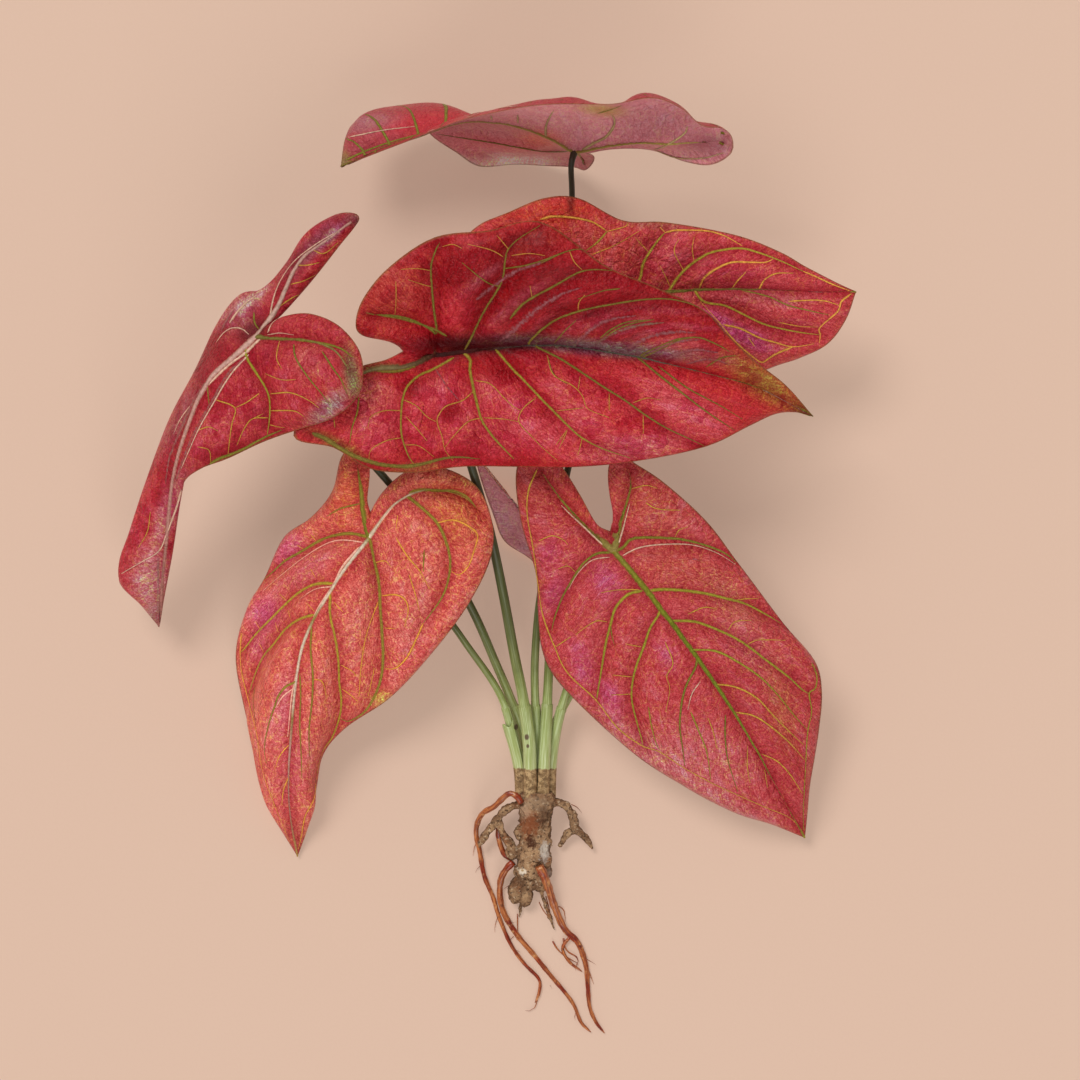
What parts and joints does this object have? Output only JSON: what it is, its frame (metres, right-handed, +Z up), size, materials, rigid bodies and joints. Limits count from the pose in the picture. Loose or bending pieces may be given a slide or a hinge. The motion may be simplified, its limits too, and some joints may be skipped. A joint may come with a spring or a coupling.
{
  "type": "caladium plant, bare-rooted",
  "caption": "Caladium lifted from its pot and laid on its back: red heart-shaped leaves on slender stalks, a short rhizome and its roots.",
  "frame": {"origin": "middle of the plant's box, on the surface that it lies on", "axes": "+Z up from that surface; +Y along the plant from its roots to its leaves; +X across it, to the right as seen from above with the leaves at the top"},
  "size_m": [0.3715, 0.4704, 0.1343],
  "materials": {
    "leaf_coral": "satin",
    "leaf_rose": "satin",
    "leaf_crimson": "satin",
    "leaf_scarlet": "satin",
    "leaf_mauve": "satin",
    "leaf_pale": "satin",
    "stalk_green": "satin",
    "sheath_green": "satin",
    "soil_brown": "matte",
    "root_orange": "satin"
  },
  "bodies": {
    "root": {"leaf_lower_left": "leaf_coral", "stalk_lower_left": "stalk_green", "leaf_lower_right": "leaf_rose", "stalk_lower_right": "stalk_green", "leaf_center": "leaf_crimson", "stalk_center": "stalk_green", "leaf_left": "leaf_crimson", "stalk_left": "stalk_green", "leaf_upper_right": "leaf_scarlet", "stalk_upper_right": "stalk_green", "leaf_top": "leaf_mauve", "stalk_top": "stalk_green", "leaf_under": "leaf_pale", "stalk_under": "stalk_green", "torn_sheath": "sheath_green", "rhizome": "soil_brown", "root_left": "root_orange", "root_middle": "root_orange", "root_right": "root_orange", "root_loop": "root_orange"}
  },
  "joints": []
}
